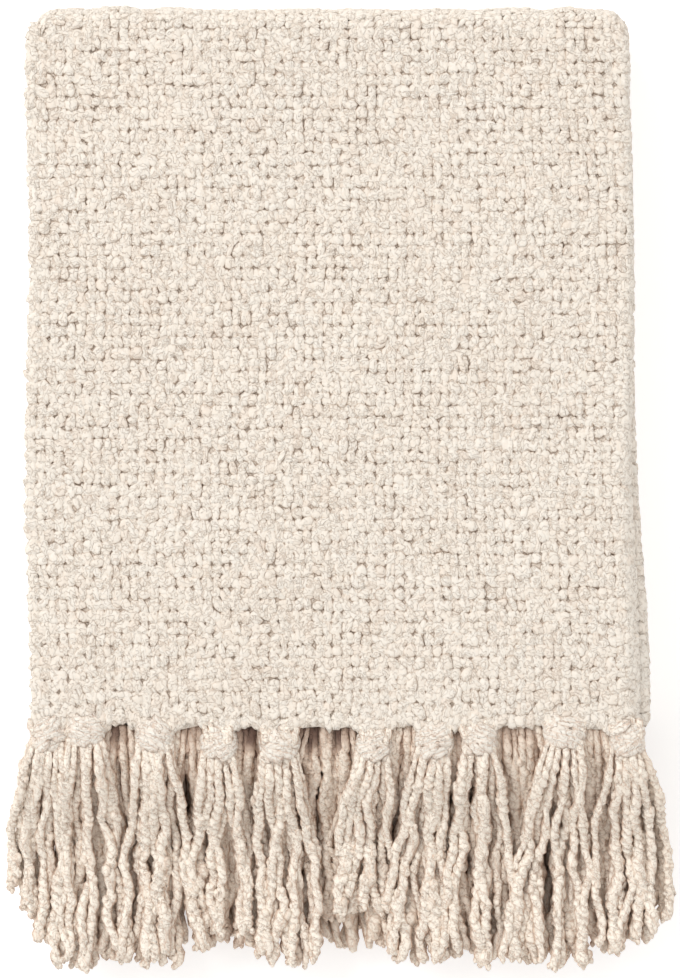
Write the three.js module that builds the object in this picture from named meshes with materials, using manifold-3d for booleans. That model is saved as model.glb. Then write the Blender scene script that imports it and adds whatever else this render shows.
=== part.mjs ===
// A boucle throw, folded in four across its width and in four along its length, with knotted
// tassels at both of its ends. Millimetres, +Z up. It lies on the plane z = 0 with its fringe
// towards -Y, and the origin is the middle of the folded cloth's underside.
import * as THREE from "three";
import { mergeVertices } from "three/addons/utils/BufferGeometryUtils.js";
import Module from "manifold-3d";

// The cloth as it comes off the loom, without its fringe
const THROW_WIDTH = 1270;
const THROW_LENGTH = 1520;
const CLOTH_THICK = 4;

// The folded stack
const PANELS = 4;
const LAYER_GAP = 0.6;
const SIDE_FOLD_SQUASH = 0.9;
const END_FOLD_SQUASH = 0.6;
const SELVEDGE_OVERHANG = 4;
const HEM_OVERHANG = 13;
const LAYER_PITCH = CLOTH_THICK + LAYER_GAP;
const STRIP_THICK = PANELS * LAYER_PITCH - LAYER_GAP;
const STRIP_PITCH = STRIP_THICK + LAYER_GAP;
const STACK_HEIGHT = PANELS * STRIP_PITCH - LAYER_GAP;

// How far the folded cloth departs from square and level
const SPLAY = 10;
const SPLAY_FROM = 90;
const SPLAY_DEPTH = 16;
const CORNER_CUT = 22;
const CORNER_RUN = 15;
const CORNER_REACH = 70;
const EDGE_WANDER = 1.2;
const EDGE_WAVE = 230;
const TOP_RIPPLE = 0.018;
const RIPPLE_WAVE_X = 190;
const RIPPLE_WAVE_Y = 240;
const RIPPLE_PHASE = 0.7;

// Where the cloth bends: places on each flat run, as shares of it, and steps around each turn. Across the
// width they crowd at the sides, for the rounded corners.
const WIDTH_RUN_PLACES = [0, 0.035, 0.33, 0.67, 0.965];
const WIDTH_TURN_STEPS = 4;
const LENGTH_RUN_PLACES = [0, 0.25, 0.5, 0.75];
const LENGTH_TURN_STEPS = 6;

// The fringe: distances are measured outwards from the cloth's end, and strands lie in rows by height
const PIECE_GAP = 0.3;
const DROP_RUN = 75;
const UPPER_STATIONS = [28, 50, 75];
const LOWER_STATIONS = [50];
const ROW_PITCH = 4.1;
const LOCK_THICK = 3;
const LOCK_WIDTH = 4;
const KNOT_LENGTH = 15;
const KNOT_SIDES = 8;
const KNOT_NECK = 0.6;
const STRIP_LENGTH = 5;
const STRIP_TRIM = 0.6;
const ROW_INSET = 14;

// A knot's outline below its neck: places along it from its middle, out towards the throat that the
// strands leave by, as shares of its length, and half-widths as shares of its own
const KNOT_OUTLINE = [
  { out: 0.5, half: 0.72 },
  { out: 0.1, half: 1 },
  { out: -0.25, half: 0.85 },
];

// The front row, placed as it lies: x of the knot, its width, how far out its middle hangs, the span
// of its tips in x, how far out they reach, and its number of strands
const FRONT_ROW = [
  { at: -151, width: 16, hang: 9, left: -174, right: -147, reach: 122, strands: 6 },
  { at: -130, width: 19, hang: 8, left: -142, right: -113, reach: 130, strands: 6 },
  { at: -93, width: 19, hang: 9, left: -108, right: -79, reach: 131, strands: 6 },
  { at: -59, width: 18, hang: 11, left: -74, right: -47, reach: 126, strands: 6 },
  { at: -27, width: 20, hang: 12, left: -42, right: -6, reach: 130, strands: 7 },
  { at: 23, width: 18, hang: 12, left: -1, right: 31, reach: 117, strands: 6 },
  { at: 55, width: 19, hang: 10, left: 36, right: 61, reach: 131, strands: 5 },
  { at: 79, width: 17, hang: 9, left: 66, right: 92, reach: 124, strands: 5 },
  { at: 124, width: 21, hang: 8, left: 97, right: 138, reach: 127, strands: 7 },
  { at: 157, width: 17, hang: 9, left: 143, right: 181, reach: 120, strands: 6 },
];

// The row behind it, seen in the gaps of the front row
const SECOND_ROW = [
  { at: -142, width: 15, hang: 13, left: -168, right: -137, reach: 118, strands: 4 },
  { at: -113, width: 16, hang: 15, left: -131, right: -99, reach: 124, strands: 4 },
  { at: -76, width: 16, hang: 14, left: -93, right: -61, reach: 120, strands: 4 },
  { at: -44, width: 16, hang: 15, left: -55, right: -24, reach: 127, strands: 4 },
  { at: -2, width: 17, hang: 15, left: -18, right: 13, reach: 122, strands: 4 },
  { at: 38, width: 16, hang: 14, left: 19, right: 50, reach: 126, strands: 4 },
  { at: 69, width: 15, hang: 13, left: 56, right: 88, reach: 121, strands: 4 },
  { at: 105, width: 16, hang: 14, left: 94, right: 126, reach: 125, strands: 4 },
  { at: 143, width: 15, hang: 13, left: 132, right: 172, reach: 117, strands: 4 },
];

// How each row that shows is tied: its panel of the fold, counted from the top, the rows of strands that
// lie beneath it, how far its knots stand above the cloth's middle, their thickness, how wide the strands
// part in the knot, the step between its upper and lower strands, and a strand's width and thickness
const FRONT_TIE = {
  panel: 0,
  rest: 7,
  lift: 3.6,
  knotThick: 10,
  throat: 0.62,
  step: 4,
  strandWidth: 4.4,
  strandThick: 3.8,
};
const SECOND_TIE = {
  panel: 1,
  rest: 6,
  lift: 0.2,
  knotThick: 4.2,
  throat: 0.72,
  step: 0,
  strandWidth: 3.6,
  strandThick: LOCK_THICK,
};

// The rows inside the stack, each tied to a narrow strip: the cloth's end that it belongs to, its panel of
// the fold, the rows of strands that lie beneath it, and its shift in x
const INNER_ROWS = [
  { name: "fringe_upper_3", end: "upper", panel: 2, rest: 5, shift: 4 },
  { name: "fringe_upper_4", end: "upper", panel: 3, rest: 4, shift: -3 },
  { name: "fringe_lower_4", end: "lower", panel: 3, rest: 3, shift: 6 },
  { name: "fringe_lower_3", end: "lower", panel: 2, rest: 2, shift: -5 },
  { name: "fringe_lower_2", end: "lower", panel: 1, rest: 1, shift: 2 },
  { name: "fringe_lower_1", end: "lower", panel: 0, rest: 0, shift: 0 },
];
const INNER_TASSELS = 9;
const INNER_STRANDS = 3;
const INNER_KNOT = 17;
const INNER_THROAT = 4.7;
const INNER_REACH = 118;
const SIDE_SHORTER = 4;
const REACH_WANDER = 3;
const REACH_TURN = 5;

const CLOTH_FINISH = new THREE.MeshStandardMaterial({ color: 0xe8dccc, roughness: 0.95, metalness: 0 });
const FRINGE_FINISH = new THREE.MeshStandardMaterial({ color: 0xd9c8b4, roughness: 0.95, metalness: 0 });

const { clamp, lerp, smoothstep } = THREE.MathUtils;
const wasm = await Module();
wasm.setup();

// Half the rim of an ellipse
function halfEllipse(a, b) {
  return (Math.PI / 2) * (3 * (a + b) - Math.sqrt((3 * a + b) * (a + 3 * b)));
}

// A back-and-forth fold of four runs joined by three turns. The first and last runs stand out past the
// turns between them by the overhang. Each station is a leg of the fold and a place on it from 0 to 1.
function backAndForth({ length, pitch, squash, overhang, runPlaces, turnSteps }) {
  const turn = halfEllipse((squash * pitch) / 2, pitch / 2);
  const run = (length - (PANELS - 1) * turn - 2 * overhang) / PANELS;
  const turnPlaces = Array.from({ length: turnSteps }, (_, step) => step / turnSteps);
  const stations = [];
  for (let leg = 0; leg < 2 * PANELS - 1; leg += 1) {
    const places = leg % 2 === 0 ? runPlaces : turnPlaces;
    places.forEach((t) => stations.push({ leg, t }));
  }
  stations.push({ leg: 2 * PANELS - 2, t: 1 });
  return { run, pitch, squash, overhang, stations };
}

// The place of a station in the fold's own section: along its runs and up from its lowest run's middle.
// The offset is measured from the middle of the sheet towards the side that is up on the top run.
function sectionPoint(fold, { leg, t }, offset) {
  const panel = Math.floor(leg / 2);
  const way = panel % 2 === 0 ? 1 : -1;
  const top = (PANELS - 1 - panel) * fold.pitch;
  if (leg % 2 === 0) {
    const start = -fold.run / 2 - (panel === 0 ? fold.overhang : 0);
    const end = fold.run / 2 + (panel === PANELS - 1 ? fold.overhang : 0);
    return { along: way * lerp(start, end, t), up: top + way * offset };
  }
  const radius = fold.pitch / 2 + way * offset;
  const angle = Math.PI * t;
  return {
    along: way * (fold.run / 2 + fold.squash * radius * Math.sin(angle)),
    up: top - fold.pitch / 2 + radius * Math.cos(angle),
  };
}

const widthFold = backAndForth({
  length: THROW_WIDTH,
  pitch: LAYER_PITCH,
  squash: SIDE_FOLD_SQUASH,
  overhang: SELVEDGE_OVERHANG,
  runPlaces: WIDTH_RUN_PLACES,
  turnSteps: WIDTH_TURN_STEPS,
});
const lengthFold = backAndForth({
  length: THROW_LENGTH,
  pitch: STRIP_PITCH,
  squash: END_FOLD_SQUASH,
  overhang: HEM_OVERHANG,
  runPlaces: LENGTH_RUN_PLACES,
  turnSteps: LENGTH_TURN_STEPS,
});
const HALF_WIDTH = widthFold.run / 2 + SELVEDGE_OVERHANG;
const BACK_FOLD = lengthFold.run / 2 + END_FOLD_SQUASH * (STRIP_PITCH - LAYER_GAP / 2);
const HEM = -lengthFold.run / 2 - HEM_OVERHANG;
const UPPER_END = lengthFold.stations[0];
const LOWER_END = lengthFold.stations.at(-1);

function ease(value) {
  return smoothstep(value, 0, 1);
}

function wave(place, length, phase) {
  return Math.sin((2 * Math.PI * place) / length + phase);
}

// Moves a point of the square stack to where it lies: the lower layers splay to +X towards the fringe,
// the corners at the back fold are rounded, the sides wander a little and the top is not quite level.
function settle(x, y, z) {
  const below = ease((STACK_HEIGHT - z) / SPLAY_DEPTH);
  const forward = ease((SPLAY_FROM - y) / (SPLAY_FROM - HEM));
  const aside = clamp((Math.abs(x) - HALF_WIDTH + CORNER_RUN) / CORNER_RUN, 0, 1);
  const corner = 1 - Math.sqrt(1 - aside ** 2);
  const back = ease((y - BACK_FOLD + CORNER_REACH) / CORNER_REACH);
  const ripple = wave(x, RIPPLE_WAVE_X, RIPPLE_PHASE) * wave(y, RIPPLE_WAVE_Y, Math.PI / 2);
  return new THREE.Vector3(
    x + SPLAY * below * forward + EDGE_WANDER * wave(y, EDGE_WAVE, 0),
    y - CORNER_CUT * corner * back,
    z * (1 + TOP_RIPPLE * ripple),
  );
}

// A point of the folded cloth, from its stations across and along and its place in the thickness
function clothPoint(across, along, offset) {
  const panel = sectionPoint(widthFold, across, offset);
  const middle = ((PANELS - 1) * LAYER_PITCH) / 2;
  const strip = sectionPoint(lengthFold, along, panel.up - middle);
  return settle(panel.along, strip.along, strip.up + STRIP_THICK / 2);
}

function mergedPositions(geometry) {
  geometry.deleteAttribute("normal");
  geometry.deleteAttribute("uv");
  return mergeVertices(geometry, 1e-4);
}

function solidOf(geometry) {
  const merged = mergedPositions(geometry);
  return new wasm.Manifold(
    new wasm.Mesh({
      numProp: 3,
      vertProperties: merged.attributes.position.array,
      triVerts: new Uint32Array(merged.index.array),
    }),
  );
}

function meshOf(name, geometry, finish) {
  geometry.computeVertexNormals();
  const mesh = new THREE.Mesh(geometry, finish);
  mesh.name = name;
  return mesh;
}

function joinedMesh(name, solids, finish) {
  const joined = solids.slice(1).reduce((whole, next) => whole.add(next), solids[0]).getMesh();
  const geometry = new THREE.BufferGeometry();
  geometry.setAttribute("position", new THREE.BufferAttribute(joined.vertProperties, 3));
  geometry.setIndex(new THREE.BufferAttribute(joined.triVerts, 1));
  return meshOf(name, geometry, finish);
}

// A flat slab of the cloth's grid, carried point by point through both folds
function clothMesh() {
  const across = widthFold.stations;
  const along = lengthFold.stations;
  const columns = across.length - 1;
  const rows = along.length - 1;
  const slab = new THREE.BoxGeometry(columns, rows, CLOTH_THICK, columns, rows, 1);
  const points = slab.attributes.position;
  for (let i = 0; i < points.count; i += 1) {
    const column = Math.round(points.getX(i) + columns / 2);
    const row = Math.round(points.getY(i) + rows / 2);
    points.setXYZ(i, ...clothPoint(across[column], along[row], points.getZ(i)));
  }
  return meshOf("cloth", mergedPositions(slab), CLOTH_FINISH);
}

// The height of a row at a distance from the cloth's end: down to its own level, and level from there
function rowHeight({ rootHeight, restHeight }, distance) {
  return lerp(rootHeight, restHeight, ease(distance / DROP_RUN));
}

function restHeightOf(rowsBeneath) {
  return LOCK_THICK / 2 + rowsBeneath * ROW_PITCH;
}

// A strand's middle line, from its knot to its tip. Its stations are the same on every strand of a row,
// so that the strands of two rows stay parallel.
class StrandCurve extends THREE.Curve {
  constructor(row, { from, to, start, reach, level = 0 }) {
    super();
    Object.assign(this, { row, from, to, level });
    this.stations = [start, ...row.stations, reach];
    this.steps = this.stations.length - 1;
  }

  getPoint(t, target = new THREE.Vector3()) {
    const index = Math.min(Math.floor(t * this.steps), this.steps - 1);
    const distance = lerp(this.stations[index], this.stations[index + 1], t * this.steps - index);
    const start = this.stations[0];
    const fan = Math.sin((Math.PI / 2) * ((distance - start) / (this.stations.at(-1) - start)));
    const x = lerp(this.from, this.to, fan);
    return target.set(x, HEM - distance, rowHeight(this.row, distance) + this.level);
  }

  getUtoTmapping(u) {
    return u;
  }

  // Frames that keep each strand's section upright
  computeFrenetFrames(segments) {
    const frames = { tangents: [], normals: [], binormals: [] };
    for (let i = 0; i <= segments; i += 1) {
      const tangent = this.getTangentAt(i / segments);
      const normal = new THREE.Vector3(-tangent.y, tangent.x, 0).normalize();
      frames.tangents.push(tangent);
      frames.normals.push(normal);
      frames.binormals.push(new THREE.Vector3().crossVectors(tangent, normal));
    }
    return frames;
  }
}

// A strand of three sides, flat beneath
function strandSolid(curve, width, thick) {
  const section = new THREE.Shape([
    new THREE.Vector2(-width / 2, -LOCK_THICK / 2),
    new THREE.Vector2(width / 2, -LOCK_THICK / 2),
    new THREE.Vector2(0, thick - LOCK_THICK / 2),
  ]);
  const path = { steps: curve.steps, extrudePath: curve, bevelEnabled: false };
  return solidOf(new THREE.ExtrudeGeometry(section, path));
}

// Lays a shape on a row. The shape's y is minus its distance from the cloth's end, and its z counts from
// the row's height there.
function laidSolid(row, geometry) {
  const points = geometry.attributes.position;
  for (let i = 0; i < points.count; i += 1) {
    const y = points.getY(i);
    points.setXYZ(i, points.getX(i), HEM + y, points.getZ(i) + rowHeight(row, -y));
  }
  return solidOf(geometry);
}

// A knot: the gathered ends from the cloth, the drawn-up ball, and the throat that the strands leave by
function knotShape({ at, width, hang }, thick) {
  const outline = KNOT_OUTLINE.map(
    ({ out, half }) => new THREE.Vector2((half * width) / 2, -hang - out * KNOT_LENGTH),
  );
  const profile = [
    new THREE.Vector2(0, outline[0].y),
    ...outline,
    new THREE.Vector2((KNOT_NECK * width) / 2, -PIECE_GAP),
    new THREE.Vector2(0, -PIECE_GAP),
  ];
  const ball = new THREE.LatheGeometry(profile, KNOT_SIDES);
  return ball.scale(1, 1, thick / width).translate(at, 0, 0);
}

// One tassel of a row that shows: its knot, and its strands, which lie in turn in the lower and the upper
// half of the row
function tasselMesh(name, tie, tassel) {
  const root = clothPoint({ leg: 2 * tie.panel, t: 0.5 }, UPPER_END, 0);
  const row = {
    rootHeight: root.z + tie.lift,
    restHeight: restHeightOf(tie.rest),
    stations: UPPER_STATIONS,
  };
  const solids = [laidSolid(row, knotShape(tassel, tie.knotThick))];
  for (let i = 0; i < tassel.strands; i += 1) {
    const share = i / (tassel.strands - 1);
    const curve = new StrandCurve(row, {
      from: tassel.at + (share - 0.5) * tie.throat * tassel.width,
      to: lerp(tassel.left, tassel.right, share),
      start: tassel.hang + KNOT_LENGTH / 4,
      reach: tassel.reach,
      level: tie.step * (i % 2),
    });
    solids.push(strandSolid(curve, tie.strandWidth, tie.strandThick));
  }
  return joinedMesh(name, solids, FRINGE_FINISH);
}

// The strip of a row inside the stack, in plan: straight along the cloth, with a lobe for each knot
function stripShape(spread, pitch) {
  const edge = -PIECE_GAP - STRIP_LENGTH;
  const shape = new THREE.Shape();
  shape.moveTo(spread, -PIECE_GAP);
  shape.lineTo(-spread, -PIECE_GAP);
  shape.lineTo(-spread, edge);
  for (let i = 0; i < INNER_TASSELS; i += 1) {
    const at = -spread + (i + 0.5) * pitch;
    shape.lineTo(at - INNER_KNOT / 2, edge);
    shape.lineTo(at - INNER_KNOT / 3, edge - KNOT_LENGTH / 2);
    shape.lineTo(at + INNER_KNOT / 3, edge - KNOT_LENGTH / 2);
    shape.lineTo(at + INNER_KNOT / 2, edge);
  }
  shape.lineTo(spread, edge);
  return shape;
}

// A row inside the stack: its strip, which follows the row down from the cloth, and its strands
function innerRowMesh({ name, end, panel, rest, shift }) {
  const upper = end === "upper";
  const root = clothPoint({ leg: 2 * panel, t: 0.5 }, upper ? UPPER_END : LOWER_END, 0);
  const stations = upper ? UPPER_STATIONS : LOWER_STATIONS;
  const row = { rootHeight: root.z, restHeight: restHeightOf(rest), stations };
  const spread = HALF_WIDTH - ROW_INSET;
  const pitch = (2 * spread) / INNER_TASSELS;
  const thick = CLOTH_THICK - STRIP_TRIM;
  const strip = new THREE.ExtrudeGeometry(stripShape(spread, pitch), { depth: thick, bevelEnabled: false });
  strip.translate(root.x + shift, 0, -thick / 2);
  const solids = [laidSolid(row, strip)];
  for (let i = 0; i < INNER_TASSELS; i += 1) {
    const at = root.x + shift - spread + (i + 0.5) * pitch;
    for (let k = 0; k < INNER_STRANDS; k += 1) {
      const side = k - (INNER_STRANDS - 1) / 2;
      const curve = new StrandCurve(row, {
        from: at + INNER_THROAT * side,
        to: at + (pitch / INNER_STRANDS) * side,
        start: STRIP_LENGTH + KNOT_LENGTH / 4,
        reach: INNER_REACH - SIDE_SHORTER * Math.abs(side) + REACH_WANDER * Math.sin(REACH_TURN * i + rest),
      });
      solids.push(strandSolid(curve, LOCK_WIDTH, LOCK_THICK));
    }
  }
  return joinedMesh(name, solids, FRINGE_FINISH);
}

function tasselRow(name, tie, tassels) {
  return tassels.map((tassel, i) => tasselMesh(`${name}_${String(i + 1).padStart(2, "0")}`, tie, tassel));
}

const throwPart = new THREE.Group();
throwPart.add(clothMesh());
throwPart.add(...tasselRow("tassel_front", FRONT_TIE, FRONT_ROW));
throwPart.add(...tasselRow("tassel_second", SECOND_TIE, SECOND_ROW));
throwPart.add(...INNER_ROWS.map(innerRowMesh));

export default throwPart;
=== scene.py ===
"""The looks of a folded boucle throw: its woven floats, its knotted tassels and the studio around it."""

import math

import bpy
import numpy as np
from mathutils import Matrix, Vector


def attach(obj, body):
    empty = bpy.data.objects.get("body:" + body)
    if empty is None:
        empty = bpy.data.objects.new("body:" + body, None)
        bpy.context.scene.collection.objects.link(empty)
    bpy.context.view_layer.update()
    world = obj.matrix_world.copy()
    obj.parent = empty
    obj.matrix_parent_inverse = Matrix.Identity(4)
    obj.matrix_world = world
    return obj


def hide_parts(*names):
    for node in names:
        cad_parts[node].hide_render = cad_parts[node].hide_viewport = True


bl_info = {
    "name": "Boucle throw",
    "version": (1, 0, 0),
    "blender": (4, 5, 0),
    "location": "View3D > Sidebar > Throw",
    "description": "Builds a folded boucle throw with knotted tassels on its packed frame",
    "category": "Object",
}

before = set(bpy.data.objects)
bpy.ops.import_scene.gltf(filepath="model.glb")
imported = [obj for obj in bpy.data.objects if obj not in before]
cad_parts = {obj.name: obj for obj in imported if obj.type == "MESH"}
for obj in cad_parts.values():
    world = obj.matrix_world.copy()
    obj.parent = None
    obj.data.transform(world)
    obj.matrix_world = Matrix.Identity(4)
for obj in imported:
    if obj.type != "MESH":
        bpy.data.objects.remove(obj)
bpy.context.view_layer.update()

MM = 0.001
UP = np.array((0, 0, 1))
FLOOR_CLEAR = 0.0003
RANDOM_TURN = 6.28  # range of a random phase

# The fold, in metres, as in the part's source
PANELS = 4
LEGS = 2 * PANELS - 1
SIDE_FOLD_SQUASH = 0.9
END_FOLD_SQUASH = 0.6
SELVEDGE_OVERHANG = 0.004
HEM_OVERHANG = 0.013
SPLAY = 0.010
SPLAY_FROM = 0.090
SPLAY_DEPTH = 0.016
CORNER_ACROSS = 0.012
CORNER_ALONG = 0.017
LEFT_CORNER_ALONG = 1.5
EDGE_WANDER = 0.0012
EDGE_WAVE = 0.230
TOP_RIPPLE = 0.018
RIPPLE_WAVE_X = 0.190
RIPPLE_WAVE_Y = 0.240
RIPPLE_PHASE = 0.7

# The hem: how far the knots draw it out, and its waver as metres a radian, share and phase
HEM_DRAW = 0.005
HEM_DRAW_RUN = 0.022
HEM_DRAW_WIDTH = 0.010
HEM_DRAW_BACK = 0.25
HEM_WAVER = 0.0014
HEM_WAVES = ((0.0075, 1.0, 1.0), (0.0027, 0.6, 2.5))

# The folds at the back: their fluff, which fades toward the corners and the faces, and their crest, where the
# floats' rims carry less painted shade
FOLD_FLUFF = 0.0014
FOLD_FLUFF_WAVE = 0.045
FLUFF_FROM_CORNER = 0.04
FLUFF_FROM_FACE = 0.7
CREST_AT = 0.42
CREST_HALF = 0.25

# The sheet under the floats: steps on a run and around a turn of each fold, and its looks: painted crease
# shade where it shows between the floats, and its tone
SHEET_RUN_STEPS = 14
SHEET_SIDE_STEPS = 6
SHEET_END_STEPS = 10
SHEET_SHADE = 0.22
SHEET_TONE = 0.5

# Sides and rings in the mesh of one float, by where it lies, and of a curl
FACE_FLOAT = (7, 3)
INSIDE_FLOAT = (7, 2)
EDGE_FLOAT = (6, 3)
HEM_FLOAT = (6, 2)
FLOOR_FLOAT = (5, 1)
KNOT_FLOAT = (9, 3)
CURL_MESH = (6, 2)

# One float: how far out its rings lie, its foot, its lobes as order and size, its squareness and its lean
LUMP_REACHES = (0.42, 0.66, 0.84, 1.0)
LUMP_FOOT = -0.55
LUMP_LOBES = ((1, 0.08), (2, 0.10), (3, 0.10))
LUMP_SQUARE = 2.6
LUMP_LEAN = 0.12
FURROW_SHARP = 2.0

# How uneven the weave is, in half-pitches. A stray is a wander, its wave in metres, and a random spread
STRAY_ACROSS = (0.13, 0.030, 0.11)
STRAY_ALONG = (0.11, 0.026, 0.10)
WANDER_WAVES = 5
WANDER_RANGE = (0.6, 1.5)
SLUB_SHARE = 0.28
PLY_APART = (0.32, 0.52)
PLY_SLIP = (0.12, 0.14)
FLOAT_BROAD = 1.00
SLUB_BROAD = 1.36
BROAD_SPREAD = 0.12
FLOAT_LONG = 1.66
SLUB_LONG = 1.58
LONG_SPREAD = 0.10
TILT = 0.26
TILT_SPREAD = 0.30
MIDDLE_SPREAD = 0.00022
PUFF_SPREAD = 0.12
SLUB_PUFF = 1.12

# Floats around a turn: beside the face, at the ends, and on the edges of the layers, along and across
FACE_TURN_FLOATS = 3
END_TURN_FLOATS = 8
RIM_TURN_FLOATS = 5
LAYER_TURN_FLOATS = 2

# Floats by place, in metres: how high their middles stand, their puff, and at the cut edges their half-size
FLOAT_MIDDLE = 0.0006
LAYER_MIDDLE = 0.0007
LAYER_PUFF = 0.0019
FLOOR_PUFF = 0.0012
EDGE_PUFF = 0.0021
EDGE_INSET = 0.0012
SELVEDGE_HALF = 0.0021
HEM_HALF = 0.0029
HEM_PITCH_SHARE = 0.85
EDGE_LOOSE = 0.6
HEM_LOOSE = 2.0

# Looks of the floats: rims with less painted shade at edges and at the side of the face, painted light on the
# side of the face, and painted shade on the edges of lower layers
PALE_RIM = 0.27
TURNED_RIM = 0.17
TURNED_PAINTED_LIGHT = 0.5
LOWER_LAYER_SHADE = -0.2

# A yarn: the section of its two plies, its lumps, its grip at the knot, its blunt end and its twist
PLY_CORE = 0.71
PLY_SWELL = 0.34
PLY_ROUND = 0.8
LUMP_WAVE = 0.0055
SLUB_WAVE = 0.015
SLUB_WEIGHT = 0.6
LUMP_LIMITS = (0.78, 1.28)
ROOT_WIDTH = 0.93
TIP_GAIN = 0.14
GRIP = 0.24
GRIP_RUN = 0.022
BLUNT = 0.30
BLUNT_FROM = 0.97
BLUNT_RUN = 0.03
TWIST_STRAY = 2.1
TWIST_STRAY_WAVE = 0.014
TWIST_RANGE = (0.85, 1.2)
NUB_SPREAD = 0.11
# Painted shade on a yarn: its random spread, how it eases toward the tips, and the painted shadow near the
# root under the hem
SHADE_SPREAD = 0.12
BRIGHT_FROM = 0.68
BRIGHT_RUN = 0.25
HEM_SHADOW = 1.9
HEM_SHADOW_RUN = 0.022

# A curl on a yarn, in shares of the yarn's radius
CURL_SIZE = (0.60, 0.95)
CURL_STAND = 0.66
CURL_LONG = 1.2
CURL_HIGH = 0.75
CURL_LEAN = 0.25
# Painted shade on a curl's rim, and a curl's tone
CURL_RIM = 0.42
CURL_TONE = 0.2

# The frayed end of a yarn, in shares of its width
FRAY_RADII = (0.16, 0.33, 0.34, 0.20)
FRAY_RANGE = (0.8, 1.15)
FRAY_START = (-0.7, -0.1)
FRAY_LENGTH = 0.62
FRAY_ASIDE = 0.26
FRAY_SIDES = 5
FRAY_TURN = 3

# How a tassel's yarns lie, in metres, and how much less those at its outer side stray
SIDE_SHORTER = 0.04
CUT_CURVE = 1.2
TIP_SPARE = 0.003
TIP_SPREAD = 0.005
TIP_STRAY = 0.0038
FAN_CURVE = (1.7, 2.5)
LONG_SWAY = (0.05, 0.09)
SHORT_SWAY = (0.022, 0.04)
SHORT_SWAY_SHARE = 0.6
SWAY_EASE = 2.5
TIP_CURL = 0.0035
TIP_CURL_FROM = 0.7
TIP_CURL_RUN = 0.3
LEVEL_SPREAD = 0.0012
LEVEL_AT_KNOT = 0.35
LEVEL_EASE = 7
BOB = 0.0012
BOB_WAVE = (0.03, 0.06)
BOB_EASE = 3
BOW_CURVE = 1.3
TONE_SPREAD = 0.3
WIDTH_SPREAD = 0.11
# Painted shadow under the hem: its random spread from yarn to yarn
HEM_SHADOW_RANGE = (0.2, 1.1)
# Painted shade on the sides of the outermost yarns is paler
OUTER_PALE = 0.6
OUTER_PALE_FROM = 0.5
OUTER_PALE_RUN = 0.4
OUTER_CALM = {"tip": 0.6, "sway": 0.5, "curl": 0.7}

# The yarns that draw in from the hem to a knot, in millimetres
DRAW_POINTS = 7
DRAW_SIDES = 6
DRAW_NARROWED = 0.6
DRAW_INSIDE = 3
DRAW_FALL = 2.5
DRAW_SPREAD = 1.2

# A knot: its outline along its length, its core, and the unevenness of its plies
KNOT_ALONG = (0, 0.12, 0.42, 0.72, 0.9, 1)
KNOT_BULGE = (0.55, 0.80, 0.96, 0.92, 0.82, 0.70)
CORE_SIDES = 14
CORE_RINGS = 7
CORE_SUNK = 0.0008
# Painted shade on the knot's core
CORE_SHADE = 0.3
KNOT_STRAY = 0.10
KNOT_BROAD = (0.80, 1.0)
KNOT_LONG = (0.62, 0.78)
KNOT_LEAN = (0.25, 0.5)
KNOT_LEAN_SPREAD = 0.18
KNOT_MIDDLE_SPREAD = 0.00025
KNOT_PUFF = 0.0014
KNOT_PUFF_SPREAD = 0.18
# Painted shadow that a knot takes from its tassel's shadow under the hem
KNOT_HEM_SHADOW = 0.8

# The fringe's rows by height
DROP_RUN = 0.075
ROW_PITCH = 0.0041
LOCK_THICK = 0.003

# The two rows that show, as they lie, in millimetres: x of the knot, its width, how far out its middle hangs,
# the span of its tips in x, how far out they reach, its number of yarns, how far its outer side bows, how
# much shorter it is there, and how much painted shadow it has under the hem, from 0 to 1
ROW_COLUMNS = ("at", "width", "hang", "left", "right", "reach", "yarns", "bow", "cut", "hem_shadow")
FRONT_ROW = (
    (-149, 18, 5, -170, -141, 133, 17, -1, 46, 0),
    (-130, 20, 3, -147, -111, 130, 15, 0, 0, 0),
    (-93, 20, 5, -110, -77, 128, 15, 0, 0, 0),
    (-59, 19, 10, -76, -44, 113, 14, 0, 0, 0),
    (-27, 21, 10, -43, -7, 128, 15, 0, 0, 0),
    (23, 19, 10, -3, 33, 103, 14, 0, 0, 0),
    (55, 20, 8, 35, 64, 127, 14, 0, 0, 0),
    (79, 18, 7, 64, 96, 127, 14, 0, 0, 0),
    (124, 22, 4, 96, 143, 130, 17, 0, 0, 0),
    (157, 18, 7, 144, 180, 125, 15, 2.5, 14, 0.4),
)
SECOND_ROW = (
    (-142, 18, 5, -165, -128, 124, 14, -1, 36, 0.3),
    (-113, 18, 9, -131, -97, 126, 14, 0, 0, 0.7),
    (-76, 18, 8, -95, -59, 122, 14, 0, 0, 0.5),
    (-44, 18, 9, -60, -24, 118, 14, 0, 0, 1.0),
    (-2, 20, 9, -22, 16, 104, 15, 0, 0, 1.0),
    (38, 18, 8, 15, 52, 120, 14, 0, 0, 0.3),
    (69, 18, 7, 51, 90, 125, 14, 0, 0, 0.9),
    (102, 20, 8, 88, 128, 125, 14, 0, 0, 0.4),
    (141, 18, 7, 126, 174, 120, 14, 1, 14, 0.2),
)

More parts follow.
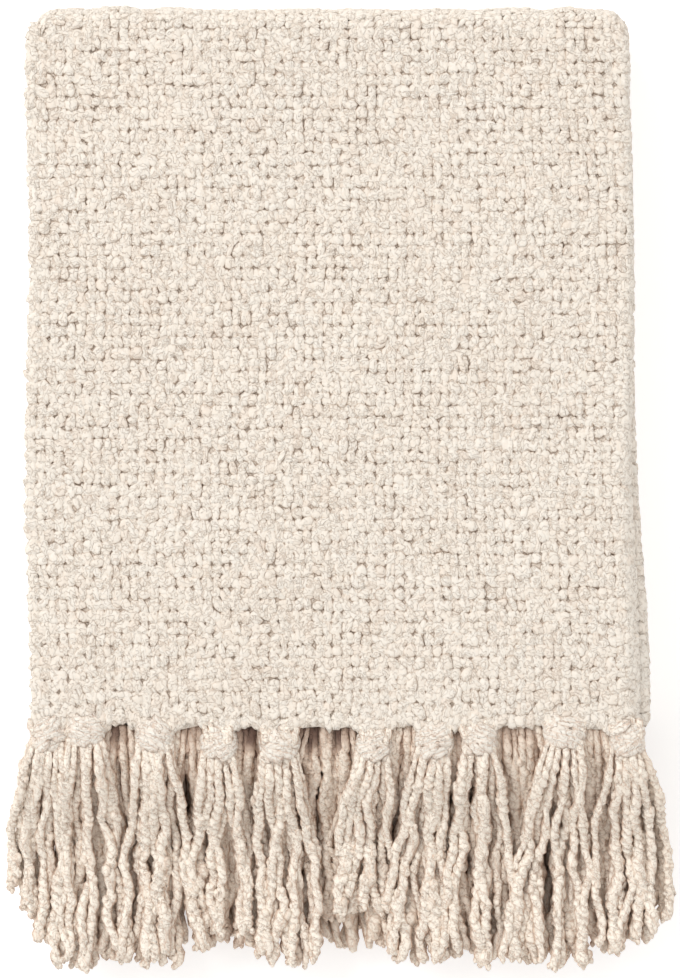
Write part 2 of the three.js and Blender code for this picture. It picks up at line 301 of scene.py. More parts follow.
# How the tassels of a row are tied, in millimetres
FRONT_TIE = {
    "panel": 0,  # of the fold, from which it hangs
    "lift": 0.8,  # of its root above that panel
    "rest": 7.4,  # rows beneath its tips
    "knot": 10,  # depth of a knot
    "knot_length": 15,
    "sunk": 0,  # how far a knot lies below the root
    "throat": 0.82,  # width of the yarns at the knot, as a share of the knot's
    "loose_from": 0.28,  # where the yarns start, in lengths of the knot from its middle
    "step": 3.8,  # height from one level of yarns to the next
    "levels": 3,
    "sides": 8,  # of a yarn's mesh
    "rings": 58,
    # Tone holds random unevenness and painted shade: low tones are painted darker
    "tone_and_shade": 0.02,
    "level_shade_step": 0.46,  # gain in tone from level to level
    # less painted shade toward the tips
    "brighter": 0.0,  # gain in tone toward the tips
    "fray": 2,  # puffs at the end of a yarn
    "curls": 6,  # along a yarn
    "draws": 5,  # yarns that draw in from the hem
    "drawn": 16,  # width of the hem that they come from
    "plies": (6, 3),  # around a knot and along it
    # a low knot tone paints the knot with shade, and pale rims carry less painted shade
    "knot_tone": 0.9,
    "knot_soft": 0.42,  # how pale the rims of its plies are
}
# The second row lies under the first, so its yarns and knots carry painted shade
SECOND_TIE = {
    **FRONT_TIE, "panel": 1, "lift": 0.2, "rest": 6.5, "knot": 7, "knot_length": 14, "sunk": 2.5,
    "throat": 1.35, "loose_from": -0.6, "step": 3.0, "levels": 2, "sides": 7, "rings": 50, "tone_and_shade": -0.30,
    "level_shade_step": 0.36, "curls": 4, "draws": 0, "knot_tone": -0.5, "knot_soft": 0.05,
}
# The rows inside the stack carry painted shade, which eases toward their tips
INNER_TIE = {
    **FRONT_TIE, "knot": 5.8, "knot_length": 14, "throat": 1.2, "loose_from": -0.2, "step": 0, "levels": 1,
    "sides": 5, "rings": 22, "level_shade_step": 0, "brighter": 0.6, "fray": 0, "curls": 0, "draws": 0,
    "plies": (5, 2), "knot_tone": -0.5, "knot_soft": 0.1,
}

# The rows inside the stack: node, end of the cloth, panel of the fold, rows beneath, and shift in x
INNER_COLUMNS = ("node", "end", "panel", "rest", "shift")
INNER_ROWS = (
    ("fringe_upper_3", "upper", 2, 5, 4),
    ("fringe_upper_4", "upper", 3, 4, -3),
    ("fringe_lower_4", "lower", 3, 3, 6),
    ("fringe_lower_3", "lower", 2, 2, -5),
    ("fringe_lower_2", "lower", 1, 1, 2),
    ("fringe_lower_1", "lower", 0, 0, 0),
)

# Their tassels, in millimetres. The outermost ones fan out further and carry less painted shade
INNER_TASSEL = {"width": 15, "hang": 9, "yarns": 5, "bow": 0, "cut": 0, "hem_shadow": 0}
INNER_TASSELS = 9
INNER_INSET = 14
INNER_REACH = 118
INNER_REACH_SPREAD = 3
INNER_FAN = 0.46
INNER_LEFT_FAN = 15
INNER_RIGHT_FAN = 6
# Painted shade in the tone of the inner tassels, and less of it on the outermost ones
INNER_SHADE_TONE = -0.4
INNER_END_SHADE_TONE = 0.1
INNER_SEED = 7

# Surfaces of the yarn: seed of its noise, size of its loops of fibre, strength of their lines, of its mottle
# and of its unevenness from float to float, which also carries the painted shade of lower yarns, and how wide
# and how dark its painted shade is in its grooves, on its rims and on its sides
WOVEN_SURFACE = {
    "seed": 1.7, "loop": 0.0030, "lines": 0.33, "mottle": 0.34, "uneven": 0.20, "groove": 0.33, "depth": 0.74,
}
LOOSE_SURFACE = {
    "seed": 5.3, "loop": 0.0026, "lines": 0.36, "mottle": 0.42, "uneven": 0.40, "groove": 0.85, "depth": 0.58,
}
KNOT_SURFACE = {**LOOSE_SURFACE, "seed": 3.9}
PATCH_SIZE = 0.045
PATCH_SHARE = 0.06
# Painted shade in the furrow between two plies
FURROW_SHADE_SHARE = 0.34
FIBRE_BUMP = 0.7

# The studio, in metres
AMBIENT_COLOUR = (1.0, 0.99, 0.975, 1)
LAMP_PLACE = (-2.9, 2.3, 4.2)
LAMP_AIM = (0, -0.06, 0.05)
LAMP_SIZE = 3.3
FLOOR_REACH = 6.0
FLOOR_GLOW = 0.50
VIEW_END = 50


class ThrowCloth(bpy.types.PropertyGroup):
    """Sizes of the cloth and of its weave."""

    width: bpy.props.FloatProperty(
        name="Width", description="Width of the flat cloth", default=1.27, unit="LENGTH"
    )
    length: bpy.props.FloatProperty(
        name="Length", description="Length of the flat cloth without its fringe", default=1.52, unit="LENGTH"
    )
    thickness: bpy.props.FloatProperty(
        name="Thickness", description="Thickness of one layer", default=0.004, unit="LENGTH"
    )
    gap: bpy.props.FloatProperty(
        name="Layer gap", description="Room between two layers", default=0.0006, unit="LENGTH"
    )
    core: bpy.props.FloatProperty(
        name="Core", description="Half the thickness of the sheet under the floats", default=0.0010,
        unit="LENGTH",
    )
    warp_pitch: bpy.props.FloatProperty(
        name="Warp pitch", description="Distance between warp yarns", default=0.0048, unit="LENGTH"
    )
    weft_pitch: bpy.props.FloatProperty(
        name="Weft pitch", description="Distance between weft yarns", default=0.0060, unit="LENGTH"
    )
    puff: bpy.props.FloatProperty(
        name="Puff", description="Height of a float above its middle", default=0.0022, unit="LENGTH"
    )
    seed: bpy.props.IntProperty(name="Seed", description="Seed of the weave's unevenness", default=11)


class ThrowFringe(bpy.types.PropertyGroup):
    """Sizes of the tassels."""

    yarn: bpy.props.FloatProperty(
        name="Yarn", description="Width of a yarn in a tassel", default=0.0056, unit="LENGTH"
    )
    twist: bpy.props.FloatProperty(
        name="Twist", description="Length of one turn of a yarn's two plies", default=0.0115, unit="LENGTH"
    )
    lumps: bpy.props.FloatProperty(
        name="Lumps", description="How uneven a yarn's width is", default=0.13, subtype="FACTOR", min=0, max=1
    )
    sway: bpy.props.FloatProperty(
        name="Sway", description="How far a yarn strays sideways", default=0.0016, unit="LENGTH"
    )
    seed: bpy.props.IntProperty(name="Seed", description="Seed of the yarns' unevenness", default=23)


class ThrowFinish(bpy.types.PropertyGroup):
    """Colours and surface of the boucle yarn, with the colours of its painted shade and shadow."""

    yarn: bpy.props.FloatVectorProperty(
        name="Yarn", description="Colour of the yarn in full light", default=(0.822, 0.770, 0.698),
        subtype="COLOR", size=3, min=0, max=1,
    )
    fringe: bpy.props.FloatVectorProperty(
        name="Fringe", description="Colour of the tassels' yarn in full light", default=(0.955, 0.878, 0.776),
        subtype="COLOR", size=3, min=0, max=1,
    )
    # Darker fibres at random, and through low tones also the painted shade of lower yarns
    shade: bpy.props.FloatVectorProperty(
        name="Shade", description="Colour of the yarn's darker fibres", default=(0.78, 0.655, 0.535),
        subtype="COLOR", size=3, min=0, max=1,
    )
    # Painted shade: the colour that stands in for the shade down between the floats
    crease_shade: bpy.props.FloatVectorProperty(
        name="Crease", description="Colour down between the floats", default=(0.42, 0.29, 0.20),
        subtype="COLOR", size=3, min=0, max=1,
    )
    knot: bpy.props.FloatVectorProperty(
        name="Knot", description="Colour of the knots' yarn in full light", default=(0.865, 0.825, 0.755),
        subtype="COLOR", size=3, min=0, max=1,
    )
    # Painted shade: the colour that stands in for the shade between the tassels' yarns and on their sides
    gap: bpy.props.FloatVectorProperty(
        name="Gap", description="Colour down between the tassels' yarns", default=(0.60, 0.365, 0.240),
        subtype="COLOR", size=3, min=0, max=1,
    )
    # Painted shadow: the colour that stands in for the shadow far down under the hem
    deep: bpy.props.FloatVectorProperty(
        name="Deep", description="Colour far down under the hem", default=(0.14, 0.085, 0.065),
        subtype="COLOR", size=3, min=0, max=1,
    )
    # Painted shade: the colour of yarns that lie deep in the fringe, where shade falls
    hollow_shade: bpy.props.FloatVectorProperty(
        name="Hollow", description="Colour of yarns that lie deep in the fringe", default=(0.68, 0.50, 0.39),
        subtype="COLOR", size=3, min=0, max=1,
    )
    sheen: bpy.props.FloatProperty(
        name="Sheen", description="Weight of the fibres' sheen", default=0.10, subtype="FACTOR", min=0, max=1
    )
    fibre: bpy.props.FloatProperty(
        name="Fibre", description="Size of the small curls of fibre", default=0.0011, unit="LENGTH"
    )


class ThrowStage(bpy.types.PropertyGroup):
    """The studio: floor, light and camera."""

    floor: bpy.props.FloatVectorProperty(
        name="Floor", description="Colour of the floor", default=(0.66, 0.655, 0.65),
        subtype="COLOR", size=3, min=0, max=1,
    )
    ambient: bpy.props.FloatProperty(
        name="Ambient", description="Strength of the light from all around", default=0.94
    )
    key: bpy.props.FloatProperty(
        name="Key", description="Power of the large lamp", default=150.0, unit="POWER"
    )
    distance: bpy.props.FloatProperty(
        name="Distance", description="From the camera to the top of the stack", default=2.5, unit="LENGTH"
    )
    view_height: bpy.props.FloatProperty(
        name="View height", description="Height of the picture on the top of the stack", default=0.5175,
        unit="LENGTH",
    )
    centre: bpy.props.FloatVectorProperty(
        name="Centre", description="Point under the middle of the picture", default=(0.005, -0.066, 0.0),
        subtype="XYZ", size=3,
    )


def ease(value):
    """A smooth step from 0 to 1."""
    value = np.clip(value, 0, 1)
    return value * value * (3 - 2 * value)


def half_ellipse(a, b):
    """Length of half an ellipse, from its half-axes."""
    return math.pi / 2 * (3 * (a + b) - math.sqrt((3 * a + b) * (a + 3 * b)))


def flat_grid(first, second):
    """All pairs of two runs of values."""
    return (grid.ravel() for grid in np.meshgrid(first, second, indexing="ij"))


def clear_of_floor(points):
    """Lifts points that would lie in the floor."""
    points[..., 2] = np.maximum(points[..., 2], FLOOR_CLEAR)


class Fold:
    """A back-and-forth fold of a sheet: four runs joined by three turns."""

    def __init__(self, length, pitch, squash, overhang):
        self.pitch = pitch
        self.squash = squash
        self.overhang = overhang
        turn = half_ellipse(squash * pitch / 2, pitch / 2)
        self.run = (length - (PANELS - 1) * turn - 2 * overhang) / PANELS
        legs = [turn if leg % 2 else self.run for leg in range(LEGS)]
        legs[0] += overhang
        legs[-1] += overhang
        self.legs = np.array(legs)
        self.starts = np.concatenate([[0], np.cumsum(legs)[:-1]])

    def place(self, leg, share):
        """Distance along the flat sheet of a place on a leg, given as a share of the leg."""
        return self.starts[leg] + share * self.legs[leg]

    def section(self, place, offset):
        """Along and up in the fold's section, from a place along the sheet and a height over its middle."""
        leg = np.clip(np.searchsorted(self.starts, place, side="right") - 1, 0, LEGS - 1)
        share = (place - self.starts[leg]) / self.legs[leg]
        panel = leg // 2
        way = np.where(panel % 2 == 0, 1.0, -1.0)
        top = (PANELS - 1 - panel) * self.pitch
        start = -self.run / 2 - np.where(panel == 0, self.overhang, 0)
        end = self.run / 2 + np.where(panel == PANELS - 1, self.overhang, 0)
        radius = self.pitch / 2 + way * offset
        flat = leg % 2 == 0
        round_along = self.run / 2 + self.squash * radius * np.sin(math.pi * share)
        along = way * np.where(flat, start + (end - start) * share, round_along)
        up = top + np.where(flat, way * offset, radius * np.cos(math.pi * share) - self.pitch / 2)
        return along, up


class FoldedCloth:
    """The cloth folded both ways, and where each point of the flat sheet lies."""

    def __init__(self, sizes):
        self.layer_pitch = sizes.thickness + sizes.gap
        self.strip_thick = PANELS * self.layer_pitch - sizes.gap
        strip_pitch = self.strip_thick + sizes.gap
        self.height = PANELS * strip_pitch - sizes.gap
        self.across = Fold(sizes.width, self.layer_pitch, SIDE_FOLD_SQUASH, SELVEDGE_OVERHANG)
        self.along = Fold(sizes.length, strip_pitch, END_FOLD_SQUASH, HEM_OVERHANG)
        self.half_width = self.across.run / 2 + SELVEDGE_OVERHANG
        self.back = self.along.run / 2 + END_FOLD_SQUASH * (strip_pitch - sizes.gap / 2)
        self.hem = -self.along.run / 2 - HEM_OVERHANG

    def settle(self, x, y, z):
        """Moves a point of the square stack to where it lies."""
        below = ease((self.height - z) / SPLAY_DEPTH)
        forward = ease((SPLAY_FROM - y) / (SPLAY_FROM - self.hem))
        along = CORNER_ALONG * np.where(x < 0, LEFT_CORNER_ALONG, 1.0)
        aside = np.maximum((np.abs(x) - self.half_width) / CORNER_ACROSS + 1, 0)
        back = np.maximum((y - self.back) / along + 1, 0)
        inward = 1 - np.maximum(aside, back) / np.maximum(np.hypot(aside, back), 1e-9)
        inward = np.where(np.minimum(aside, back) > 0, inward, 0)
        x = x - np.sign(x) * CORNER_ACROSS * aside * inward
        ripple = np.sin(2 * math.pi * x / RIPPLE_WAVE_X + RIPPLE_PHASE)
        ripple = ripple * np.cos(2 * math.pi * y / RIPPLE_WAVE_Y)
        return np.stack(
            [
                x + SPLAY * below * forward + EDGE_WANDER * np.sin(2 * math.pi * y / EDGE_WAVE),
                y - along * back * inward,
                z * (1 + TOP_RIPPLE * ripple),
            ],
            axis=-1,
        )

    def point(self, u, v, offset):
        """Where a point lies, from its places across and along the flat sheet and its height over it."""
        x, up = self.across.section(u, offset)
        y, z = self.along.section(v, up - (PANELS - 1) * self.layer_pitch / 2)
        top = u < self.across.legs[0] + self.across.legs[1] / 2
        y = y - np.where(top, self.drawn_out(x) * ease(1 - v / HEM_DRAW_RUN), 0)
        return self.settle(x, y, z + self.strip_thick / 2)

    def drawn_out(self, x):
        """How far the knots of the front row draw the hem out at a place across it."""
        near = [np.exp(-(((x - tassel[0] * MM) / HEM_DRAW_WIDTH) ** 2)) for tassel in FRONT_ROW]
        waver = sum(share * np.sin(x / wave + phase) for wave, share, phase in HEM_WAVES)
        return HEM_DRAW * (np.maximum.reduce(near) - HEM_DRAW_BACK) + HEM_WAVER * waver

    def hem_middle(self, panel, upper=True):
        """Where the middle of a panel lies at the cloth's upper or lower end."""
        v = 0.0 if upper else self.along.legs.sum()
        return self.point(np.array(self.across.place(2 * panel, 0.5)), np.array(v), np.array(0.0))


class KnotSkin:
    """The skin of a knot, around and along which its plies lie."""

    def __init__(self, middle, half):
        self.middle = middle
        self.half = half
        self.girth = 2 * half_ellipse(half[0], half[2])
        self.length = 2 * half[1]

    def point(self, u, v, offset):
        """Where a point lies, from its place around and along the skin and its height over it."""
        turn = 2 * math.pi * u / self.girth
        share = v / self.length
        bulge = np.interp(share, KNOT_ALONG, KNOT_BULGE)
        return self.middle + np.stack(
            [
                (self.half[0] * bulge + offset) * np.cos(turn),
                self.half[1] * (1 - 2 * share),
                (self.half[2] * bulge + offset) * np.sin(turn),
            ],
            axis=-1,
        )


class Mesh:
    """Points and faces of one piece. Each point has a painted shade, a tone that holds both random unevenness
    and painted shade or light, and a place across the plies.
    """

    def __init__(self):
        self.points, self.faces = [], []
        self.looks = {"shade": [], "tone_and_shade": [], "ply": []}
        self.count = 0

    def add(self, points, faces, shade, tone_and_shade, ply=1.0):
        """Adds points, faces that count them from 0, and looks for each point or for all of them."""
        points = points.reshape(-1, 3)
        self.points.append(points)
        for look, value in (("shade", shade), ("tone_and_shade", tone_and_shade), ("ply", ply)):
            self.looks[look].append(np.broadcast_to(value, len(points)))
        self.faces += [face + self.count for face in faces]
        self.count += len(points)

    def piece(self, name, material, slot):
        """Makes the piece, which rides on the root body."""
        corners = np.concatenate([face.ravel() for face in self.faces])
        sizes = np.concatenate([np.full(len(face), face.shape[1]) for face in self.faces])
        mesh = bpy.data.meshes.new(name)
        mesh.vertices.add(self.count)
        mesh.vertices.foreach_set("co", np.concatenate(self.points).astype(np.float32).ravel())
        mesh.loops.add(len(corners))
        mesh.loops.foreach_set("vertex_index", corners.astype(np.int32))
        mesh.polygons.add(len(sizes))
        mesh.polygons.foreach_set("loop_start", (np.cumsum(sizes) - sizes).astype(np.int32))
        mesh.update(calc_edges=True)
        mesh.validate()
        mesh.shade_smooth()
        for look, values in self.looks.items():
            layer = mesh.attributes.new(look, "FLOAT", "POINT")
            layer.data.foreach_set("value", np.concatenate(values).astype(np.float32))
        mesh.materials.append(material)
        piece = bpy.data.objects.new(name, mesh)
        bpy.context.scene.collection.objects.link(piece)
        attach(piece, "root")
        return piece


def lump_shape(sides, rings):
    """A unit lump with a flat crown: turn, reach and rise of its points, and its faces, top pole first."""
    reaches = np.array(LUMP_REACHES[-rings:])
    turn = np.tile(np.linspace(0, 2 * math.pi, sides, endpoint=False), rings)
    turn = np.concatenate([[0], turn, [0]])
    reach = np.concatenate([[0], np.repeat(reaches, sides), [0]])
    rise = np.concatenate([[1], np.repeat(np.sqrt(1 - reaches**3), sides), [LUMP_FOOT]])
    j = np.arange(sides)
    k = (j + 1) % sides
    last = rings * sides + 1
    faces = [np.stack([np.zeros(sides, int), 1 + j, 1 + k], axis=1)]
    for ring in range(rings - 1):
        low = 1 + ring * sides
        faces.append(np.stack([low + j, low + sides + j, low + sides + k, low + k], axis=1))
    faces.append(np.stack([np.full(sides, last), last - sides + k, last - sides + j], axis=1))
    return turn, reach, rise, faces


def tube_faces(rings, sides):
    """Faces of a tube of rings and of its two ends, whose poles come after the rings."""
    j = np.arange(sides)
    k = (j + 1) % sides
    low = (np.arange(rings - 1) * sides)[:, None]
    high = low + sides
    last = (rings - 1) * sides
    pole = np.full(sides, rings * sides)
    return [
        np.stack([low + j, low + k, high + k, high + j], axis=2).reshape(-1, 4),
        np.stack([pole, k, j], axis=1),
        np.stack([pole + 1, last + j, last + k], axis=1),
    ]


def weave_floats(mesh, cloth, spots, shape, rng, tone_and_shade=0.0, soft=0.0, plied=False):
    """Adds a puffy ply at each spot of the sheet. Spots have columns u, v, half-size in u and in v, tilt, the
    side of the sheet that they stand on, the height of their middle and their puff. Rims are painted with
    shade, less so on soft plies, and plied ones have a furrow along their middle that is bumped and painted
    with shade."""
    u, v, half_u, half_v, tilt, side, middle, puff = (column[:, None] for column in spots.T)
    count = len(spots)
    turn, out, rise, faces = lump_shape(*shape)
    lobes = np.ones((count, len(turn)))
    for order, size in LUMP_LOBES:
        phase = rng.uniform(0, 2 * math.pi, (count, 1))
        lobes += size * rng.uniform(0.2, 1, (count, 1)) * np.cos(order * turn + phase)
    square = np.abs(np.cos(turn)) ** LUMP_SQUARE + np.abs(np.sin(turn)) ** LUMP_SQUARE
    reach = lobes * square ** (-1 / LUMP_SQUARE) * out
    a = reach * np.cos(turn) * half_u
    b = reach * np.sin(turn) * half_v
    lean = rng.normal(0, LUMP_LEAN, (2, count, 1))
    up = rise + np.where(rise > 0, lean[0] * reach * np.cos(turn) + lean[1] * reach * np.sin(turn), 0)
    du = a * np.cos(tilt) - b * np.sin(tilt)
    dv = a * np.sin(tilt) + b * np.cos(tilt)
    points = cloth.point(u + du * np.sign(side), v + dv, side * (middle + puff * up))
    clear_of_floor(points)
    # Rims are painted with shade, less so where the ply is soft
    shade = np.broadcast_to(np.where(rise > 0, soft + (1 - soft) * (1 - out), soft), points.shape[:2])
    tone_and_shade = np.repeat(tone_and_shade + rng.uniform(0, 1, (count, 1)), len(turn), axis=1)
    each = np.arange(count)[:, None, None] * len(turn)
    spread = [(face[None] + each).reshape(-1, face.shape[1]) for face in faces]
    ply = np.where(plied, FURROW_SHARP * out * np.sin(turn), 1.0)
    mesh.add(points, spread, shade.ravel(), tone_and_shade.ravel(), np.tile(ply, count))


def wander(rng, u, v, size, wave):
    """A smooth stray of the yarns from their straight lines."""
    stray = np.zeros_like(u)
    for _ in range(WANDER_WAVES):
        turn, phase = rng.uniform(0, 2 * math.pi, 2)
        length = wave * rng.uniform(*WANDER_RANGE)
        stray += np.sin(2 * math.pi * (u * np.cos(turn) + v * np.sin(turn)) / length + phase)
    return size * stray / math.sqrt(WANDER_WAVES / 2)


def float_stray(rng, u, v, loose, size, wave, spread):
    """How far floats stray from their places, in half-pitches."""
    return wander(rng, u, v, size * loose, wave) + rng.normal(0, spread * loose, len(u))


def weave_grid(columns, rows, rng, puff, middle, side=1.0, loose=1.0, plies=2):
    """Spots of an uneven plain weave. Columns and rows are places and half-sizes along u and v. Each float of
    the weave is a yarn of two plies, or now and then one fat slub."""
    u, v = flat_grid(columns[0], rows[0])
    half_u, half_v = flat_grid(columns[1], rows[1])
    i, j = flat_grid(np.arange(len(columns[0])), np.arange(len(rows[0])))
    warp = (i + j) % 2 == 0
    count = len(u)
    u = u + half_u * float_stray(rng, u, v, loose, *STRAY_ACROSS)
    v = v + half_v * float_stray(rng, u, v, loose, *STRAY_ALONG)
    slub = rng.uniform(size=count) < (SLUB_SHARE if plies == 2 else 1.0)
    spots = []
    for ply in (-1, 1):
        keep = ~slub if ply < 0 else np.full(count, True)
        apart = np.where(slub, 0.0, ply) * rng.uniform(*PLY_APART, count)
        slip = np.where(slub, 0.0, ply) * rng.normal(*PLY_SLIP, count)
        broad = np.where(slub, SLUB_BROAD, FLOAT_BROAD) * np.exp(rng.normal(0, BROAD_SPREAD, count))
        long = np.where(slub, SLUB_LONG, FLOAT_LONG) * np.exp(rng.normal(0, LONG_SPREAD, count))
        spots.append(
            np.stack(
                [
                    u + half_u * np.where(warp, apart, slip),
                    v + half_v * np.where(warp, slip, apart),
                    half_u * np.where(warp, broad, long),
                    half_v * np.where(warp, long, broad),
                    rng.normal(TILT, TILT_SPREAD * loose, count),
                    np.full(count, side),
                    middle + rng.normal(0, MIDDLE_SPREAD * loose, count),
                    puff * np.exp(rng.normal(0, PUFF_SPREAD, count)) * np.where(slub, SLUB_PUFF, 1.0),
                ],
                axis=1,
            )[keep]
        )
    return np.concatenate(spots)


def even_places(start, end, pitch):
    """Places a pitch apart or nearly between two ends, and half the pitch at each."""
    count = max(1, round((end - start) / pitch))
    places = start + (np.arange(count) + 0.5) * (end - start) / count
    return places, np.full(count, (end - start) / count / 2)


def leg_places(fold, leg, pitch):
    """Places a pitch apart or nearly on a leg of a fold, and half the pitch at each."""
    return even_places(fold.place(leg, 0), fold.place(leg, 1), pitch)


def turn_places(fold, leg, count):
    """Places around a turn, and half the distance between them at each."""
    places = fold.place(leg, (np.arange(count) + 0.5) / count)
    return places, np.full(count, fold.legs[leg] / count / 2)


def joined_places(*parts):
    """Places and half-sizes of several parts, one after another."""
    return np.concatenate([part[0] for part in parts]), np.concatenate([part[1] for part in parts])


def run_along(path):
    """Distance along a path at each of its points."""
    steps = np.linalg.norm(np.diff(path, axis=0), axis=1)
    return np.concatenate([[0], np.cumsum(steps)])


def yarn_tube(path, radius, sides, twist, phase, nubs=0.0):
    """A two-ply yarn along a path: its points, its faces, how far up on the yarn each point is, which is
    painted as shade on its sides and underside, and where it lies across the plies, 0 in the furrow between
    them."""
    ahead = np.gradient(path, axis=0)
    ahead /= np.linalg.norm(ahead, axis=1, keepdims=True)
    across = np.cross(ahead, UP)
    across /= np.linalg.norm(across, axis=1, keepdims=True)
    over = np.cross(across, ahead)
    turn = np.linspace(0, 2 * math.pi, sides, endpoint=False)
    spiral = 2 * math.pi * run_along(path) / twist + phase
    ply = np.cos(turn[None] - spiral[:, None])
    reach = radius[:, None] * (PLY_CORE + PLY_SWELL * np.abs(ply) ** PLY_ROUND) * (1 + nubs)
    ring = np.cos(turn)[None, :, None] * across[:, None] + np.sin(turn)[None, :, None] * over[:, None]
    points = (path[:, None] + reach[..., None] * ring).reshape(-1, 3)
    poles = np.stack([path[0] - ahead[0] * radius[0] * 0.5, path[-1] + ahead[-1] * radius[-1] * 0.6])
    # How far up each point is, painted as shade on the sides and underside
    shade = np.broadcast_to(np.maximum(np.sin(turn), 0), ply.shape).ravel()
    return (
        np.concatenate([points, poles]),
        tube_faces(len(path), sides),
        np.concatenate([shade, [0.6, 0.6]]),
        np.concatenate([ply.ravel(), [0.7, 0.7]]),
    )


def smooth_noise(rng, run, length):
    """A smooth random run of values about 0, with bumps about a length apart."""
    knots = np.arange(-1, math.ceil(run[-1] / length) + 3)
    values = rng.normal(0, 1, len(knots))
    place = run / length
    low = np.floor(place).astype(int)
    share = ease(place - low)
    return values[low + 1] * (1 - share) + values[low + 2] * share


def random_wave(rng, distance, shortest, longest):
    """A wave of random length and phase along a yarn."""
    return np.sin(2 * math.pi * distance / rng.uniform(shortest, longest) + rng.uniform(0, RANDOM_TURN))


def row_height(root, rest, distance):
    """Height of a row of the fringe at a distance out from the hem."""
    return root + (rest - root) * ease(distance / DROP_RUN)


def rest_height(rows):
    """Height of the tips that rest on a number of rows."""
    return LOCK_THICK / 2 + rows * ROW_PITCH


def add_yarn(mesh, sizes, path, width, sides, rng, tone_and_shade, hem_shadow=0.0, brighter=0.0, pale=0.0, curls=0):
    """Adds one loose yarn of a tassel, lumpy along its length and blunt at its end. It may carry painted
    shadow near its root under the hem and less painted shade near its tip, and the painted shade on its sides
    is paler where it lies at the outside."""
    run = run_along(path)
    share = run / run[-1]
    lumps = smooth_noise(rng, run, LUMP_WAVE) + SLUB_WEIGHT * smooth_noise(rng, run, SLUB_WAVE)
    radius = width / 2 * (ROOT_WIDTH + TIP_GAIN * share) * (1 + sizes.lumps * lumps).clip(*LUMP_LIMITS)
    radius *= (1 - GRIP) + GRIP * ease(run / GRIP_RUN)
    radius *= 1 - BLUNT * ease((share - BLUNT_FROM) / BLUNT_RUN)
    phase = rng.uniform(0, math.pi) + TWIST_STRAY * smooth_noise(rng, run, TWIST_STRAY_WAVE)
    nubs = rng.normal(0, NUB_SPREAD, (len(path), sides))
    nubs = (nubs + np.roll(nubs, 1, axis=1)) / math.sqrt(2)
    twist = sizes.twist * rng.uniform(*TWIST_RANGE)
    points, faces, shade, ply = yarn_tube(path, radius, sides, twist, phase, nubs)
    # Painted shade on the sides, with a random spread, and paler on outer yarns
    shade = np.maximum(shade * (1 + SHADE_SPREAD * rng.standard_normal(len(shade))), pale)
    clear_of_floor(points)
    # Painted shade eases toward the tips, and painted shadow darkens the root under the hem
    tones_and_shade = brighter * ease((share - BRIGHT_FROM) / BRIGHT_RUN)
    tones_and_shade = tones_and_shade - HEM_SHADOW * hem_shadow * (1 - ease(run / HEM_SHADOW_RUN))
    tones_and_shade = tone_and_shade + np.concatenate([np.repeat(tones_and_shade, sides), tones_and_shade[[0, -1]]])
    mesh.add(points, faces, shade, tones_and_shade, ply)
    if curls:
        add_curls(mesh, path, radius, rng.integers(len(path) // 6, len(path) - 2, curls), tone_and_shade, rng)


def add_curls(mesh, path, radius, places, tone_and_shade, rng):
    """Adds small curls of boucle that stand out from a yarn, with painted shade on their rims."""
    turn, out, rise, faces = lump_shape(*CURL_MESH)
    for place in places:
        ahead = path[place + 1] - path[place - 1]
        ahead = ahead / np.linalg.norm(ahead)
        lean = rng.uniform(CURL_LEAN, math.pi - CURL_LEAN)
        side = np.cross(ahead, UP)
        outward = math.cos(lean) * side / np.linalg.norm(side) + math.sin(lean) * UP
        third = np.cross(outward, ahead)
        size = radius[place] * rng.uniform(*CURL_SIZE)
        lump = np.outer(CURL_LONG * out * np.cos(turn), ahead) + np.outer(out * np.sin(turn), third)
        lump = lump + np.outer(CURL_HIGH * rise, outward)
        points = path[place] + CURL_STAND * radius[place] * outward + size * lump
        clear_of_floor(points)
        mesh.add(points, faces, CURL_RIM + (1 - CURL_RIM) * (1 - out), tone_and_shade + CURL_TONE)


def add_fray(mesh, tip, ahead, sizes, tone_and_shade, rng):
    """Adds a short puff of loosened ply at the cut end of a yarn."""
    ahead = ahead / np.linalg.norm(ahead)
    side = np.array((-ahead[1], ahead[0], 0.0))
    out = np.linspace(0, 1, len(FRAY_RADII))[:, None]
    aside = side * rng.uniform(-FRAY_ASIDE, FRAY_ASIDE)
    path = tip + sizes.yarn * (aside + ahead * (rng.uniform(*FRAY_START) + FRAY_LENGTH * out) + aside * out)
    radius = sizes.yarn * np.array(FRAY_RADII) * rng.uniform(*FRAY_RANGE)
    points, faces, shade, ply = yarn_tube(path, radius, FRAY_SIDES, sizes.twist, rng.uniform(0, FRAY_TURN))
    clear_of_floor(points)
    mesh.add(points, faces, shade, tone_and_shade, ply)


